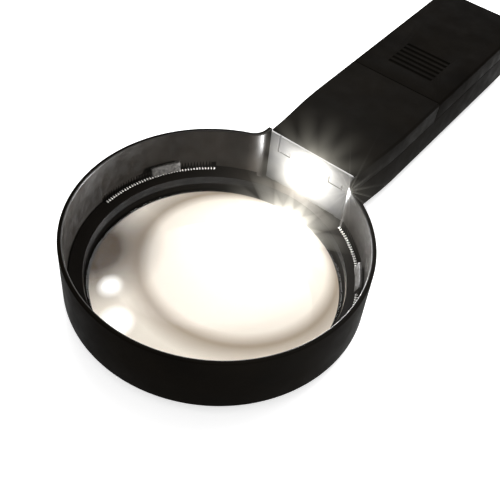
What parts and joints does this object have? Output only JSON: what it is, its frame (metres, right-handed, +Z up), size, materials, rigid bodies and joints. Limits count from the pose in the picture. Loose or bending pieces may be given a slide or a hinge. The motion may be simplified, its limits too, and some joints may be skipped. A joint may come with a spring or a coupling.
{
  "type": "low vision magnifier",
  "caption": "Hand-held illuminated magnifier: round lens in a deep ring, lamp panel at the handle, sliding battery door and thumb switch.",
  "frame": {"origin": "centre of the footprint on the eye-side face, which rests on the table", "axes": "+Y from the lens ring along the handle, +Z up through the lens to the object side where the lamp shines, +X to the right of the handle"},
  "size_m": [0.082, 0.189, 0.021],
  "materials": {
    "housing_black": "black moulded ABS, satin",
    "ring_black": "black moulded plastic, matt ledge and polished bore",
    "catch_grey": "light grey moulded plastic, rough face",
    "panel_grey": "grey lamp panel, satin",
    "lens_clear": "clear polished optical plastic",
    "lamp_white": "white translucent lamp window, lit",
    "reflector_bright": "vacuum-plated reflector",
    "emitter_yellow": "phosphor dome",
    "board_green": "green solder mask",
    "part_dark": "dark component plastic",
    "slider_grey": "dark grey ribbed thumb slider",
    "contact_nickel": "nickel-plated spring steel",
    "screw_steel": "zinc-plated steel",
    "cell_sleeve": "plain wrapped steel cell",
    "lead_red": "PVC insulation",
    "lead_black": "PVC insulation"
  },
  "bodies": {
    "magnifier": {"head_ring": "housing_black", "handle_rear_shell": "housing_black", "handle_front_shell": "housing_black", "lens_retaining_ring": "ring_black", "ring_catch_left": "catch_grey", "ring_catch_front": "catch_grey", "ring_catch_right": "catch_grey", "led_panel": "panel_grey", "lens": "lens_clear", "led_window": "lamp_white", "led_reflector": "reflector_bright", "led_emitter": "emitter_yellow", "led_board": "board_green", "driver_chip": "part_dark", "driver_resistor": "part_dark", "driver_coil": "part_dark", "switch_body": "part_dark", "contact_negative": "contact_nickel", "contact_positive": "contact_nickel", "bridge_contact": "contact_nickel", "front_spring": "contact_nickel", "rear_spring": "contact_nickel", "switch_terminal_lamp": "contact_nickel", "switch_terminal_middle": "contact_nickel", "switch_terminal_battery": "contact_nickel", "screw_front_left": "screw_steel", "screw_front_right": "screw_steel", "screw_rear_left": "screw_steel", "screw_rear_right": "screw_steel", "battery_left": "cell_sleeve", "battery_right": "cell_sleeve", "wire_red": "lead_red", "wire_black_battery": "lead_black", "wire_black_lamp": "lead_black"},
    "battery_door": {"battery_door": "housing_black"},
    "switch_slider": {"switch_slider": "slider_grey"}
  },
  "joints": [
    {"name": "battery_door_slide", "type": "slide", "parent": "magnifier", "child": "battery_door", "axis": [0, 1, 0], "range_m": [0, 0.062]},
    {"name": "switch_slide", "type": "slide", "parent": "magnifier", "child": "switch_slider", "axis": [0, 1, 0], "range_m": [0, 0.004]}
  ]
}
